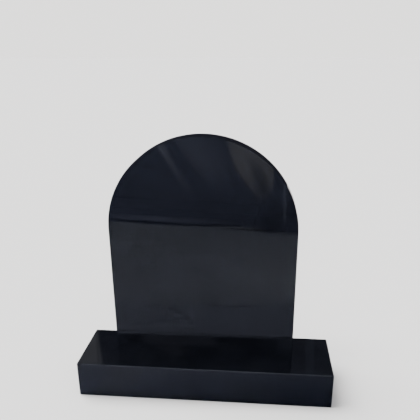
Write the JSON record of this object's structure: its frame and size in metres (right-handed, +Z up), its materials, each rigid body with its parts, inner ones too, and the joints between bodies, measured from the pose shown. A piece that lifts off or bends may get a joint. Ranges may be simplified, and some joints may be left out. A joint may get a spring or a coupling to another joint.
{
  "type": "headstone",
  "caption": "Round-topped upright memorial slab of polished black granite, standing behind a low, wider rectangular plinth block; both faces plain.",
  "frame": {"origin": "on the ground, at the middle of the bounding box's underside; the point lies on the plinth's underside", "axes": "+X to the right as seen from the front, +Y from the front to the back, +Z up"},
  "size_m": [0.78, 0.2424, 0.785],
  "materials": {
    "tablet_granite": "polished",
    "plinth_granite": "polished"
  },
  "bodies": {
    "root": {"tablet": "tablet_granite", "plinth": "plinth_granite"}
  },
  "joints": []
}
